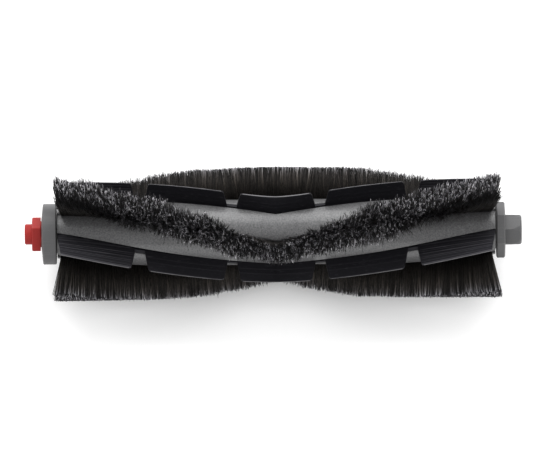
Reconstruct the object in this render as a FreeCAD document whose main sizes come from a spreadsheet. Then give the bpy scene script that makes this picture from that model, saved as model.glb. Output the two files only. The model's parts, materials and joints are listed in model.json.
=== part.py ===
import FreeCAD, Part
import math
import os

import Sketcher
from FreeCAD import Placement, Rotation, Vector

# Roller brush of a robot vacuum cleaner, lying where it comes to rest on the tips of its bristles.
# The axis runs along X, with the red bearing block at the -X end and the six-sided drive stub at +X.
# Each piece is drawn about the axis with the first row of bristles pointing up at the middle,
# then placed at the height and turn of the resting roller.

doc = FreeCAD.newDocument("RollerBrush")
sheet = doc.addObject("Spreadsheet::Sheet", "Sizes")

SIZES = (
    ("core_half_length", 123.3, "half of the slotted core"),
    ("core_mid_radius", 18.4, "straight middle of the core"),
    ("core_end_radius", 13.7, "ends of the core"),
    ("core_straight_half", 55.0, "half of the straight middle"),
    ("core_bore_radius", 6.5, "bore through the core"),
    ("row_twist", 76.2, "turn of a row from the middle to the core's end, degrees"),
    ("slot_lip", 1.3, "wall over the undercut of a slot"),
    ("slot_undercut", 1.1, "reach of the undercut on each side of the neck"),
    ("slot_head_height", 1.9, "height of the undercut"),
    ("slot_chamfer", 0.4, "chamfer along the mouth of a slot"),
    ("slot_clearance", 0.12, "room between a strip and its slot"),
    ("strip_end_gap", 0.3, "room between a strip's end and the collar"),
    ("spine_wall", 0.28, "wall beside the groove of a bristle spine"),
    ("spine_top_drop", 0.2, "top of a spine below the core's surface"),
    ("groove_depth", 1.3, "groove that grips the bristles"),
    ("groove_flare", 0.4, "widening of the groove at its mouth on each side"),
    ("tuft_play", 0.4, "room beside a tuft's root"),
    ("tuft_lift", 0.3, "root of a tuft above the groove's floor"),
    ("tuft_pitch", 4.0, "spacing of the tufts along the axis"),
    ("tuft_gap", 0.12, "room between the tips of two tufts"),
    ("tuft_root_width", 1.0, "root of a tuft across the row"),
    ("tuft_root_length", 3.0, "root of a tuft along the axis"),
    ("tuft_root_corner", 0.25, "corner cut of a tuft's root"),
    ("tuft_mid_width", 12.0, "tip of the middle tuft across the row"),
    ("tuft_end_width", 21.0, "tip of the last tuft across the row"),
    ("tuft_tip_twist", 65.9, "turn of the tufts' tips from the middle to the core's end, degrees"),
    ("tuft_tip_corner", 1.1, "corner cut of a tuft's tip"),
    ("bristle_tip_radius", 38.0, "sweep of the bristle tips"),
    ("bristle_reach", 119.5, "last tuft from the middle"),
    ("bristle_flare", 4.0, "outward lean of the last tuft at its tip"),
    ("blade_tip_radius", 29.0, "sweep of the blade tips"),
    ("blade_middle_lead", 4.0, "lean of the blade's tip at the middle of the V, degrees"),
    ("blade_tip_twist", 59.0, "turn of a blade's tip from the middle to the end, degrees"),
    ("blade_foot_rib", 3.2, "height of the thick lower part of a flap"),
    ("blade_mid_rib", 5.8, "height of the middle part of a flap"),
    ("blade_rib_slope", 0.5, "height of the slope between two parts"),
    ("blade_lower_thickness", 2.2, "flap at the top of its lower part"),
    ("blade_middle_thickness", 1.9, "flap in its middle part"),
    ("blade_upper_thickness", 1.6, "flap above the middle part"),
    ("blade_edge_thickness", 1.1, "flap below the slopes of its tip"),
    ("blade_tip_thickness", 0.6, "flap at its tip"),
    ("blade_tip_slope", 0.3, "height of the slopes of the tip"),
    ("inner_notch_place", 24.8, "inner notches from the middle"),
    ("outer_notch_place", 76.7, "outer notches from the middle"),
    ("notch_root_width", 5.6, "notch beside the core"),
    ("notch_tip_width", 9.8, "notch at the blade's tip"),
    ("notch_floor_gap", 0.4, "floor of a notch above the core"),
    ("flap_corner", 1.6, "rounded corner of a flap beside a notch"),
    ("blade_end_slant", 2.2, "a blade's end at its tip, from the square end"),
    ("collar_width", 0.6, "step between the core and a flange"),
    ("collar_radius", 10.5, "step between the core and a flange"),
    ("plug_length", 18.0, "plug of an end cap in the bore"),
    ("plug_clearance", 0.05, "room round a plug"),
    ("flange_radius", 17.1, "round flange of the bearing end"),
    ("flange_width", 8.3, "round flange along the axis"),
    ("flange_chamfer", 0.5, "edges of the round flange"),
    ("flange_crown", 0.8, "slope of the round flange's outer face along the axis"),
    ("recess_radius", 9.2, "recess in the round flange"),
    ("recess_depth", 5.8, "recess in the round flange"),
    ("axle_radius", 2.5, "steel axle pin"),
    ("axle_fit", 0.02, "room round the pin"),
    ("axle_seat_depth", 14.0, "pin inside the end cap"),
    ("axle_shoulder_radius", 3.3, "shoulder of the pin"),
    ("axle_shoulder_length", 1.6, "shoulder of the pin"),
    ("axle_overhang", 1.2, "pin beyond the bearing"),
    ("axle_chamfer", 0.4, "tip of the pin"),
    ("bearing_radius", 5.5, "outside of the ball bearing"),
    ("bearing_width", 5.0, "ball bearing along the axis"),
    ("bearing_fit", 0.02, "room round the outer ring"),
    ("ring_chamfer", 0.2, "edges of the rings"),
    ("inner_land_radius", 3.6, "shoulders of the inner ring"),
    ("outer_land_radius", 4.5, "shoulders of the outer ring"),
    ("ball_radius", 0.79, "bearing ball"),
    ("ball_count", 7, "bearing balls"),
    ("ball_clearance", 0.04, "room round a ball in its race and cage"),
    ("cage_wall", 0.5, "ball cage from its inside to its outside"),
    ("cage_width", 2.4, "ball cage along the axis"),
    ("shield_thickness", 0.25, "shield of the bearing"),
    ("shield_inset", 0.25, "shield from the face of the bearing"),
    ("shield_seat", 0.25, "reach of a shield into the outer ring"),
    ("shield_gap", 0.15, "room between a shield and the inner ring"),
    ("block_gap", 0.5, "room between the round flange and the square block"),
    ("block_side", 14.6, "square bearing block across flats"),
    ("block_length", 4.9, "square bearing block along the axis"),
    ("block_corner", 0.6, "rounded corners of the block"),
    ("block_edge", 0.5, "chamfer at the block's outer end"),
    ("block_turn", 4.0, "turn of the block at rest from the first row, degrees"),
    ("neck_radius", 7.3, "round neck of the block inside the recess"),
    ("neck_length", 5.3, "round neck of the block"),
    ("boss_radius", 5.8, "round boss of the block"),
    ("boss_length", 4.1, "round boss of the block"),
    ("boss_chamfer", 0.6, "edge of the boss"),
    ("axle_pocket_radius", 3.2, "blind hole round the pin's tip"),
    ("axle_pocket_room", 1.0, "blind hole beyond the pin's tip"),
    ("hex_flange_flats", 27.3, "six-sided flange across flats"),
    ("hex_flange_width", 5.0, "six-sided flange along the axis"),
    ("hex_flange_chamfer", 0.7, "edges of the six-sided flange"),
    ("drive_flats", 16.6, "drive stub across flats"),
    ("drive_length", 9.4, "drive stub along the axis"),
    ("nose_length", 5.5, "drive stub's narrowing nose along the axis"),
    ("nose_drop", 0.9, "narrowing of the nose"),
    ("nose_edge", 1.1, "chamfer at the end of the nose"),
    ("drive_turn", 7.5, "corners of the six-sided flange from the first row, degrees"),
    ("key_width", 3.0, "keyway across the bore at the drive end"),
    ("key_radius", 9.0, "keyway from the axis"),
    ("key_length", 10.0, "keyway along the axis"),
    ("key_clearance", 0.1, "room round the key"),
)
for line, (alias, number, meaning) in enumerate(SIZES, start=1):
    sheet.set(f"A{line}", meaning)
    sheet.set(f"B{line}", str(number))
    sheet.setAlias(f"B{line}", alias)
doc.recompute()

derived = doc.addObject("App::VarSet", "Derived")


def derive(name, formula):
    """Adds a value that follows from the sheet."""
    derived.addProperty("App::PropertyFloat", name)
    derived.setExpression(name, formula)


def value(formula):
    """Present value of a formula, used as the first guess of a sketch."""
    return float(sheet.evalExpression(formula))


def size(alias):
    return float(sheet.get(alias))


# Core: straight in the middle, then an arc that runs tangent to it down to each end.
derive("arc_run", "Sizes.core_half_length - Sizes.core_straight_half")
derive("arc_drop", "Sizes.core_mid_radius - Sizes.core_end_radius")
derive("arc_radius", "(Derived.arc_run ^ 2 + Derived.arc_drop ^ 2) / (2 * Derived.arc_drop)")

# Slots: the neck takes the spine, and the spine's groove takes the tufts.
derive("groove_floor_half", "Sizes.tuft_root_width / 2 + Sizes.tuft_play")
derive("groove_mouth_half", "Derived.groove_floor_half + Sizes.groove_flare")
derive("strip_neck_half", "Derived.groove_mouth_half + Sizes.spine_wall")
derive("strip_foot_half", "Derived.strip_neck_half + Sizes.slot_undercut")
derive("slot_neck_half", "Derived.strip_neck_half + Sizes.slot_clearance")
derive("slot_head_half", "Derived.strip_foot_half + Sizes.slot_clearance")

# Ends: places along the axis, counted from the middle of the core.
derive("collar_end", "Sizes.core_half_length + Sizes.collar_width")
derive("flange_end", "Derived.collar_end + Sizes.flange_width")
derive("recess_floor", "Derived.flange_end - Sizes.recess_depth")
derive("bearing_start", "Derived.recess_floor + Sizes.axle_shoulder_length")
derive("bearing_middle", "Derived.bearing_start + Sizes.bearing_width / 2")
derive("bearing_end", "Derived.bearing_start + Sizes.bearing_width")
derive("axle_end", "Derived.bearing_end + Sizes.axle_overhang")
derive("block_start", "Derived.flange_end + Sizes.block_gap")
derive("block_end", "Derived.block_start + Sizes.block_length")
derive("boss_end", "Derived.block_end + Sizes.boss_length")
derive("hex_flange_end", "Derived.collar_end + Sizes.hex_flange_width")
derive("drive_end", "Derived.hex_flange_end + Sizes.drive_length")
derive("ball_circle", "(Sizes.inner_land_radius + Sizes.outer_land_radius) / 2")
derive("race_radius", "Sizes.ball_radius + Sizes.ball_clearance")

# Rest: the roller lies on the ends of one row and the middle of the next.
derive("row_end_twist", "Sizes.tuft_tip_twist * Sizes.bristle_reach / Sizes.core_half_length")
derive("mid_half_angle", "asin(Sizes.tuft_mid_width / 2 / Sizes.bristle_tip_radius) / 1 deg")
derive("end_half_angle", "asin(Sizes.tuft_end_width / 2 / Sizes.bristle_tip_radius) / 1 deg")
derive("rest_turn", "(Derived.row_end_twist + Derived.end_half_angle - Derived.mid_half_angle) / 2")
derive(
    "axis_height",
    "Sizes.bristle_tip_radius * cos(60 - Derived.rest_turn - Derived.mid_half_angle)",
)
derive("middle_shift", "(Derived.boss_end - Derived.drive_end) / 2")
doc.recompute()

# Sections along a row, from the middle to the end of a slot or of the strip in it.
STATIONS = 7
SLOT_OVERRUN = 1.0


def core_radius(place):
    past = f"max(0; {place} - Sizes.core_straight_half)"
    return f"Sizes.core_mid_radius - Derived.arc_radius + sqrt(Derived.arc_radius ^ 2 - ({past}) ^ 2)"


REACHES = {
    "slot": f"Sizes.core_half_length + {SLOT_OVERRUN}",
    "strip": "Sizes.core_half_length - Sizes.strip_end_gap",
}
for kind, reach in REACHES.items():
    for station in range(STATIONS):
        place = f"Derived.{kind}_place_{station}"
        derive(f"{kind}_place_{station}", f"({reach}) * {station} / {STATIONS - 1}")
        derive(f"{kind}_turn_{station}", f"-Sizes.row_twist * {place} / Sizes.core_half_length")
        derive(f"{kind}_lip_{station}", core_radius(place))
doc.recompute()


def origin_part(body, role):
    return next(part for part in body.Origin.OriginFeatures if part.Role == role)


def new_sketch(body, name, role, place="0", turn="0"):
    """Sketch on a plane of the body's origin, moved along its normal and turned about it."""
    sketch = body.newObject("Sketcher::SketchObject", name)
    sketch.AttachmentSupport = (origin_part(body, role), "")
    sketch.MapMode = "FlatFace"
    sketch.AttachmentOffset = Placement(Vector(0, 0, 1), Rotation(Vector(0, 0, 1), 1))
    sketch.setExpression("AttachmentOffset.Base.z", place)
    sketch.setExpression("AttachmentOffset.Rotation.Angle", turn)
    return sketch


def pin_corner(sketch, line, across, out):
    """Ties the start of a line to two formulas."""
    for kind, formula in (("DistanceX", across), ("DistanceY", out)):
        index = sketch.addConstraint(Sketcher.Constraint(kind, line, 1, value(formula)))
        sketch.setExpression(f"Constraints[{index}]", formula)


def add_outline(sketch, corners):
    """Closed outline of straight lines, each corner given by two formulas."""
    points = [Vector(value(across), value(out), 0) for across, out in corners]
    first = sketch.GeometryCount
    count = len(points)
    for step in range(count):
        sketch.addGeometry(Part.LineSegment(points[step], points[(step + 1) % count]))
    for step in range(count):
        after = first + (step + 1) % count
        sketch.addConstraint(Sketcher.Constraint("Coincident", first + step, 2, after, 1))
    for step, (across, out) in enumerate(corners):
        pin_corner(sketch, first + step, across, out)


def add_circle(sketch, across, out, radius):
    centre = Vector(value(across), value(out), 0)
    circle = sketch.addGeometry(Part.Circle(centre, Vector(0, 0, 1), value(radius)))
    for kind, formula in (("DistanceX", across), ("DistanceY", out)):
        index = sketch.addConstraint(Sketcher.Constraint(kind, circle, 3, value(formula)))
        sketch.setExpression(f"Constraints[{index}]", formula)
    index = sketch.addConstraint(Sketcher.Constraint("Radius", circle, value(radius)))
    sketch.setExpression(f"Constraints[{index}]", radius)


def new_body(label):
    body = doc.addObject("PartDesign::Body", label)
    body.Label = label
    return body


def revolve(body, name, sketch, kind="PartDesign::Revolution"):
    feature = body.newObject(kind, name)
    feature.Profile = sketch
    feature.ReferenceAxis = (sketch, ["H_Axis"])
    feature.Angle = 360
    return feature


def pad(body, name, sketch, length, backwards=False):
    feature = body.newObject("PartDesign::Pad", name)
    feature.Profile = sketch
    feature.setExpression("Length", length)
    feature.Reversed = backwards
    return feature


def chamfer(body, name, base, picks, leg):
    """Chamfers the edges of a feature that a test picks."""
    doc.recompute()
    names = [f"Edge{i}" for i, edge in enumerate(base.Shape.Edges, start=1) if picks(edge)]
    feature = body.newObject("PartDesign::Chamfer", name)
    feature.Base = (base, names)
    feature.setExpression("Size", leg)
    return feature


def at_place(edge, place):
    """Tells whether an edge lies in the plane across the axis at a place."""
    return abs(edge.BoundBox.XMin - place) < 1e-4 and abs(edge.BoundBox.XMax - place) < 1e-4


def lay_down(piece, turn="0"):
    """Places a piece drawn about the axis at the rest of the roller."""
    piece.Placement = Placement(Vector(0, 0, 1), Rotation(Vector(1, 0, 0), 1))
    piece.setExpression("Placement.Base.x", "Derived.middle_shift")
    piece.setExpression("Placement.Base.z", "Derived.axis_height")
    piece.setExpression("Placement.Rotation.Angle", f"Derived.rest_turn + {turn}")


def row_sections(body, kind, corners_at):
    """Sections of a row at its stations, each turned with the row."""
    sections = []
    for station in range(STATIONS):
        sketch = new_sketch(
            body,
            f"Section{station}",
            "YZ_Plane",
            f"Derived.{kind}_place_{station}",
            f"Derived.{kind}_turn_{station}",
        )
        add_outline(sketch, corners_at(station))
        sections.append(sketch)
    return sections


def both_sides(right):
    """Outline from its right-hand corners, listed upwards, and their mirror image."""
    left = [(f"-({across})", out) for across, out in reversed(right)]
    return right + left


def mirror_whole(body, name="BothHalves"):
    """Mirrors the finished half of a V-shaped strip about the middle of the roller."""
    mirrored = body.newObject("PartDesign::Mirrored", name)
    mirrored.TransformMode = "Whole shape"
    mirrored.MirrorPlane = (origin_part(body, "YZ_Plane"), [""])
    body.Tip = mirrored
    return mirrored


def loft(body, name, sections, kind="PartDesign::AdditiveLoft"):
    feature = body.newObject(kind, name)
    feature.Profile = sections[0]
    feature.Sections = sections[1:]
    return feature


# Roller core
core = new_body("roller_core")
barrel = new_sketch(core, "BarrelProfile", "XZ_Plane")
half = size("core_half_length")
straight = size("core_straight_half")
top = size("core_mid_radius")
shoulder = size("core_end_radius")
bore = size("core_bore_radius")
arc_centre = top - value("Derived.arc_radius")
arc_turn = math.asin(value("Derived.arc_run") / value("Derived.arc_radius"))
arc_start = math.pi / 2
left_circle = Part.Circle(Vector(-straight, arc_centre, 0), Vector(0, 0, 1), value("Derived.arc_radius"))
right_circle = Part.Circle(Vector(straight, arc_centre, 0), Vector(0, 0, 1), value("Derived.arc_radius"))
barrel.addGeometry(Part.LineSegment(Vector(-straight, top, 0), Vector(straight, top, 0)))
barrel.addGeometry(Part.ArcOfCircle(right_circle, arc_start - arc_turn, arc_start))
barrel.addGeometry(Part.LineSegment(Vector(half, shoulder, 0), Vector(half, bore, 0)))
barrel.addGeometry(Part.LineSegment(Vector(half, bore, 0), Vector(-half, bore, 0)))
barrel.addGeometry(Part.LineSegment(Vector(-half, bore, 0), Vector(-half, shoulder, 0)))
barrel.addGeometry(Part.ArcOfCircle(left_circle, arc_start, arc_start + arc_turn))
barrel.addConstraint(Sketcher.Constraint("Tangent", 0, 2, 1, 2))
barrel.addConstraint(Sketcher.Constraint("Coincident", 1, 1, 2, 1))
barrel.addConstraint(Sketcher.Constraint("Coincident", 2, 2, 3, 1))
barrel.addConstraint(Sketcher.Constraint("Coincident", 3, 2, 4, 1))
barrel.addConstraint(Sketcher.Constraint("Coincident", 4, 2, 5, 2))
barrel.addConstraint(Sketcher.Constraint("Tangent", 5, 1, 0, 1))
pin_corner(barrel, 0, "-Sizes.core_straight_half", "Sizes.core_mid_radius")
pin_corner(barrel, 2, "Sizes.core_half_length", "Sizes.core_end_radius")
pin_corner(barrel, 3, "Sizes.core_half_length", "Sizes.core_bore_radius")
pin_corner(barrel, 4, "-Sizes.core_half_length", "Sizes.core_bore_radius")
barrel.addConstraint(Sketcher.Constraint("Symmetric", 0, 1, 0, 2, -2))
barrel.addConstraint(Sketcher.Constraint("Equal", 2, 4))
barrel.addConstraint(Sketcher.Constraint("Vertical", 4))
revolve(core, "Barrel", barrel)


def slot_corners(station):
    lip = f"Derived.slot_lip_{station}"
    ceiling = f"{lip} - Sizes.slot_lip"
    floor = f"{ceiling} - Sizes.slot_head_height"
    above = f"{lip} + {SLOT_OVERRUN}"
    neck = "Derived.slot_neck_half"
    return both_sides(
        [
            ("Derived.slot_head_half", floor),
            ("Derived.slot_head_half", ceiling),
            (neck, ceiling),
            (neck, f"{lip} - Sizes.slot_chamfer"),
            (f"{neck} + Sizes.slot_chamfer + {SLOT_OVERRUN}", above),
        ]
    )


slot = loft(core, "Slot", row_sections(core, "slot", slot_corners), "PartDesign::SubtractiveLoft")
doc.recompute()
six_slots = core.newObject("PartDesign::MultiTransform", "SixSlots")
six_slots.Originals = [slot]
slot_mirror = doc.addObject("PartDesign::Mirrored", "SlotMirror")
slot_mirror.MirrorPlane = (origin_part(core, "YZ_Plane"), [""])
slot_ring = doc.addObject("PartDesign::PolarPattern", "SlotRing")
slot_ring.Axis = (origin_part(core, "X_Axis"), [""])
slot_ring.Angle = 360
slot_ring.Occurrences = 6
six_slots.Transformations = [slot_mirror, slot_ring]
core.Tip = six_slots
keyway = new_sketch(core, "KeywayOutline", "YZ_Plane", "Sizes.core_half_length")
keyway_half = "Sizes.key_width / 2"
add_outline(keyway, both_sides([(keyway_half, "-Sizes.key_radius"), (keyway_half, "Sizes.key_radius")]))
keyway_cut = core.newObject("PartDesign::Pocket", "Keyway")
keyway_cut.Profile = keyway
keyway_cut.setExpression("Length", "Sizes.key_length")
core.Tip = keyway_cut
lay_down(core)


# Bristle spines: a foot in the undercut and a groove that grips the bristles.
def spine_corners(station):
    lip = f"Derived.strip_lip_{station}"
    ceiling = f"{lip} - Sizes.slot_lip - Sizes.slot_clearance"
    floor = f"{lip} - Sizes.slot_lip - Sizes.slot_head_height + Sizes.slot_clearance"
    crest = f"{lip} - Sizes.spine_top_drop"
    return both_sides(
        [
            ("Derived.strip_foot_half", floor),
            ("Derived.strip_foot_half", ceiling),
            ("Derived.strip_neck_half", ceiling),
            ("Derived.strip_neck_half", crest),
            ("Derived.groove_mouth_half", crest),
            ("Derived.groove_floor_half", f"{crest} - Sizes.groove_depth"),
        ]
    )


# Wiper blades: the same foot, a flap with two ribs that lags behind its root, and four notches.
def blade_corners(station):
    lip = f"Derived.strip_lip_{station}"
    ceiling = f"{lip} - Sizes.slot_lip - Sizes.slot_clearance"
    floor = f"{lip} - Sizes.slot_lip - Sizes.slot_head_height + Sizes.slot_clearance"
    lag_share = f"Derived.strip_place_{station} / Sizes.core_half_length"
    lag = f"(Sizes.row_twist - Sizes.blade_tip_twist) * {lag_share}"
    if station == 0:
        lag = "-Sizes.blade_middle_lead"
    tip_across = f"-Sizes.blade_tip_radius * sin({lag})"
    tip_out = f"Sizes.blade_tip_radius * cos({lag})"
    levels = (
        ("Sizes.blade_foot_rib", "Sizes.blade_lower_thickness"),
        ("Sizes.blade_foot_rib + Sizes.blade_rib_slope", "Sizes.blade_middle_thickness"),
        ("Sizes.blade_mid_rib", "Sizes.blade_middle_thickness"),
        ("Sizes.blade_mid_rib + Sizes.blade_rib_slope", "Sizes.blade_upper_thickness"),
        (f"{tip_out} - ({lip}) - Sizes.blade_tip_slope", "Sizes.blade_edge_thickness"),
        (f"{tip_out} - ({lip})", "Sizes.blade_tip_thickness"),
    )
    right = [
        ("Derived.strip_foot_half", floor),
        ("Derived.strip_foot_half", ceiling),
        ("Sizes.blade_lower_thickness / 2", ceiling),
        ("Sizes.blade_lower_thickness / 2", lip),
    ]
    left = [(f"-{across}", out) for across, out in reversed(right)]
    for height, thickness in levels:
        middle = f"({tip_across}) * ({height}) / ({tip_out} - ({lip}))"
        out = f"{lip} + {height}"
        right.append((f"{middle} + {thickness} / 2", out))
        left.insert(0, (f"{middle} - {thickness} / 2", out))
    return right + left


# Rounded corner of a flap: shares of its size outwards and along.
FLAP_CORNER_STEPS = ((0.55, 0.2), (0.87, 0.55), (1.0, 1.0))


def notch_corners(place):
    floor = f"{core_radius(place)} + Sizes.notch_floor_gap"
    brim = f"Sizes.blade_tip_radius + {SLOT_OVERRUN}"
    root_half = "Sizes.notch_root_width / 2"
    flare = "(Sizes.notch_tip_width - Sizes.notch_root_width) / 2"
    start = "Sizes.blade_tip_radius - Sizes.flap_corner"
    start_half = f"{root_half} + {flare} * ({start} - ({floor})) / (Sizes.blade_tip_radius - ({floor}))"
    right = [("Sizes.notch_root_width / 2", floor), (start_half, start)]
    for share_out, share_along in FLAP_CORNER_STEPS:
        along = f"{start_half} + {share_along} * Sizes.flap_corner"
        right.append((along, f"{start} + {share_out} * Sizes.flap_corner"))
    right.append((right[-1][0], brim))
    outline = [(f"{place} + {along}", out) for along, out in right]
    return outline + [(f"{place} - ({along})", out) for along, out in reversed(right)]


def end_corners():
    end = "Sizes.core_half_length - Sizes.strip_end_gap"
    floor = "Sizes.core_end_radius + Sizes.notch_floor_gap"
    brim = f"Sizes.blade_tip_radius + {SLOT_OVERRUN}"
    return [
        (f"{end} + {SLOT_OVERRUN}", floor),
        (f"{end} + {SLOT_OVERRUN}", brim),
        (f"{end} - Sizes.blade_end_slant", brim),
        (end, floor),
    ]


ROWS = 3
for row in range(ROWS):
    turn = row * 360 / ROWS
    spine = new_body(f"bristle_spine_{row + 1}")
    loft(spine, "Half", row_sections(spine, "strip", spine_corners))
    mirror_whole(spine)
    lay_down(spine, turn)

    blade = new_body(f"wiper_blade_{row + 1}")
    loft(blade, "Half", row_sections(blade, "strip", blade_corners))
    notches = new_sketch(blade, "NotchProfile", "XZ_Plane")
    add_outline(notches, notch_corners("Sizes.inner_notch_place"))
    add_outline(notches, notch_corners("Sizes.outer_notch_place"))
    add_outline(notches, end_corners())
    revolve(blade, "Notches", notches, "PartDesign::Groove")
    mirror_whole(blade)
    lay_down(blade, turn + 180 / ROWS)


# Bristles: tufts that stand in the groove of their spine and fan out to the sweep of the tips.
def cut_rectangle(half_length, half_width, corner, centre):
    quarter = [(half_length, half_width - corner), (half_length - corner, half_width)]
    corners = quarter + [(-along, across) for along, across in reversed(quarter)]
    corners += [(-along, -across) for along, across in corners]
    return [centre + Vector(along, across, 0) for along, across in corners]


def tuft(root, tip, turn):
    count = len(root)
    faces = [Part.Face(Part.makePolygon(ring + ring[:1])) for ring in (root, tip)]
    for step in range(count):
        after = (step + 1) % count
        side = [root[step], root[after], tip[after], tip[step], root[step]]
        faces.append(Part.Face(Part.makePolygon(side)))
    solid = Part.makeSolid(Part.makeShell(faces))
    solid.rotate(Vector(0, 0, 0), Vector(1, 0, 0), turn)
    return solid


def tuft_row():
    half_length = size("core_half_length")
    reach = size("bristle_reach")
    steps = round(reach / size("tuft_pitch"))
    places = [reach * step / steps for step in range(-steps, steps + 1)]
    leans = [size("bristle_flare") * (place / reach) ** 5 for place in places]
    tips = [place + lean for place, lean in zip(places, leans)]
    mid_half_width = size("tuft_mid_width") / 2
    end_half_width = size("tuft_end_width") / 2
    root_drop = size("spine_top_drop") + size("groove_depth") - size("tuft_lift")
    solids = []
    for index, place in enumerate(places):
        nearest = min(abs(tips[index] - other) for other in tips if other != tips[index])
        tip_half_length = (nearest - size("tuft_gap")) / 2
        share = abs(place) / half_length
        tip_half_width = mid_half_width + (end_half_width - mid_half_width) * abs(place) / reach
        tip_out = math.sqrt(size("bristle_tip_radius") ** 2 - tip_half_width**2)
        root_radius = value(core_radius(str(abs(place)))) - root_drop
        lag = math.radians((size("row_twist") - size("tuft_tip_twist")) * share)
        root = cut_rectangle(
            size("tuft_root_length") / 2,
            size("tuft_root_width") / 2,
            size("tuft_root_corner"),
            Vector(place, root_radius * math.sin(lag), root_radius * math.cos(lag)),
        )
        tip = cut_rectangle(
            tip_half_length,
            tip_half_width,
            size("tuft_tip_corner"),
            Vector(tips[index], 0, tip_out),
        )
        solids.append(tuft(root, tip, -size("tuft_tip_twist") * share))
    return Part.makeCompound(solids)


for row in range(ROWS):
    tufts = doc.addObject("Part::Feature", f"bristle_tufts_{row + 1}")
    tufts.Label = f"bristle_tufts_{row + 1}"
    tufts.Shape = tuft_row()
    lay_down(tufts, row * 360 / ROWS)

# Bearing end cap: plug, collar and round flange in one moulding.
cap = new_body("bearing_end_cap")
cap_profile = new_sketch(cap, "CapProfile", "XZ_Plane")
pin_hole = "Sizes.axle_radius + Sizes.axle_fit"
add_outline(
    cap_profile,
    [
        ("-Sizes.core_half_length + Sizes.plug_length", pin_hole),
        ("-Sizes.core_half_length + Sizes.plug_length", "Sizes.core_bore_radius - Sizes.plug_clearance"),
        ("-Sizes.core_half_length", "Sizes.core_bore_radius - Sizes.plug_clearance"),
        ("-Sizes.core_half_length", "Sizes.collar_radius"),
        ("-Derived.collar_end", "Sizes.collar_radius"),
        ("-Derived.collar_end", "Sizes.flange_radius - Sizes.flange_chamfer / 2"),
        ("-Derived.collar_end - Sizes.flange_chamfer / 2", "Sizes.flange_radius"),
        ("-Derived.flange_end + Sizes.flange_crown + Sizes.flange_chamfer", "Sizes.flange_radius"),
        ("-Derived.flange_end + Sizes.flange_crown", "Sizes.flange_radius - Sizes.flange_chamfer"),
        ("-Derived.flange_end", "Sizes.recess_radius"),
        ("-Derived.recess_floor", "Sizes.recess_radius"),
        ("-Derived.recess_floor", pin_hole),
    ],
)
revolve(cap, "CapBody", cap_profile)
lay_down(cap)


# Drive end cap: keyed plug, collar, six-sided flange and drive stub in one moulding.
def hexagon_corners(flats, turn):
    corner = f"{flats} / 2 / cos(30)"
    angles = [f"({turn} + {60 * step})" for step in range(6)]
    return [(f"-{corner} * sin{angle}", f"{corner} * cos{angle}") for angle in angles]


drive = new_body("drive_end_cap")
plug_profile = new_sketch(drive, "PlugProfile", "XZ_Plane")
add_outline(
    plug_profile,
    [
        ("Sizes.core_half_length - Sizes.plug_length", "0"),
        ("Derived.collar_end", "0"),
        ("Derived.collar_end", "Sizes.collar_radius"),
        ("Sizes.core_half_length", "Sizes.collar_radius"),
        ("Sizes.core_half_length", "Sizes.core_bore_radius - Sizes.plug_clearance"),
        ("Sizes.core_half_length - Sizes.plug_length", "Sizes.core_bore_radius - Sizes.plug_clearance"),
    ],
)
revolve(drive, "Plug", plug_profile)
key_outline = new_sketch(drive, "KeyOutline", "YZ_Plane", "Sizes.core_half_length")
key_half = "Sizes.key_width / 2 - Sizes.key_clearance"
key_top = "Sizes.key_radius - Sizes.key_clearance"
add_outline(key_outline, both_sides([(key_half, f"-({key_top})"), (key_half, key_top)]))
pad(drive, "Key", key_outline, "Sizes.key_length - Sizes.key_clearance", True)
flange_outline = new_sketch(drive, "HexFlangeOutline", "YZ_Plane", "Derived.collar_end")
add_outline(flange_outline, hexagon_corners("Sizes.hex_flange_flats", "Sizes.drive_turn"))
flange = pad(drive, "HexFlange", flange_outline, "Sizes.hex_flange_width")
flange_places = (value("Derived.collar_end"), value("Derived.hex_flange_end"))
flange_side = value("Sizes.hex_flange_flats / 2 / cos(30)")


def is_flange_edge(edge):
    on_face = any(at_place(edge, place) for place in flange_places)
    return on_face and abs(edge.Length - flange_side) < 1e-3


chamfer(drive, "HexFlangeEdges", flange, is_flange_edge, "Sizes.hex_flange_chamfer")
stub_outline = new_sketch(drive, "StubOutline", "YZ_Plane", "Derived.hex_flange_end")
add_outline(stub_outline, hexagon_corners("Sizes.drive_flats", "Sizes.drive_turn + 30"))
pad(drive, "Stub", stub_outline, "Sizes.drive_length")
nose_profile = new_sketch(drive, "NoseProfile", "XZ_Plane")
stub_corner = "Sizes.drive_flats / 2 / cos(30)"
nose_clear = f"{stub_corner} + {SLOT_OVERRUN}"
add_outline(
    nose_profile,
    [
        ("Derived.drive_end - Sizes.nose_length", stub_corner),
        ("Derived.drive_end - Sizes.nose_edge", f"{stub_corner} - Sizes.nose_drop"),
        ("Derived.drive_end", f"{stub_corner} - Sizes.nose_drop - Sizes.nose_edge"),
        (f"Derived.drive_end + {SLOT_OVERRUN}", f"{stub_corner} - Sizes.nose_drop - Sizes.nose_edge"),
        (f"Derived.drive_end + {SLOT_OVERRUN}", nose_clear),
        ("Derived.drive_end - Sizes.nose_length", nose_clear),
    ],
)
revolve(drive, "Nose", nose_profile, "PartDesign::Groove")
lay_down(drive)

# Axle pin, with a shoulder between the recess and the bearing.
axle = new_body("axle_pin")
axle_profile = new_sketch(axle, "PinProfile", "XZ_Plane")
add_outline(
    axle_profile,
    [
        ("-Derived.axle_end", "0"),
        ("-Derived.recess_floor + Sizes.axle_seat_depth", "0"),
        ("-Derived.recess_floor + Sizes.axle_seat_depth", "Sizes.axle_radius"),
        ("-Derived.recess_floor", "Sizes.axle_radius"),
        ("-Derived.recess_floor", "Sizes.axle_shoulder_radius"),
        ("-Derived.bearing_start", "Sizes.axle_shoulder_radius"),
        ("-Derived.bearing_start", "Sizes.axle_radius"),
        ("-Derived.axle_end + Sizes.axle_chamfer", "Sizes.axle_radius"),
        ("-Derived.axle_end", "Sizes.axle_radius - Sizes.axle_chamfer"),
    ],
)
revolve(axle, "Pin", axle_profile)
lay_down(axle)


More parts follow.
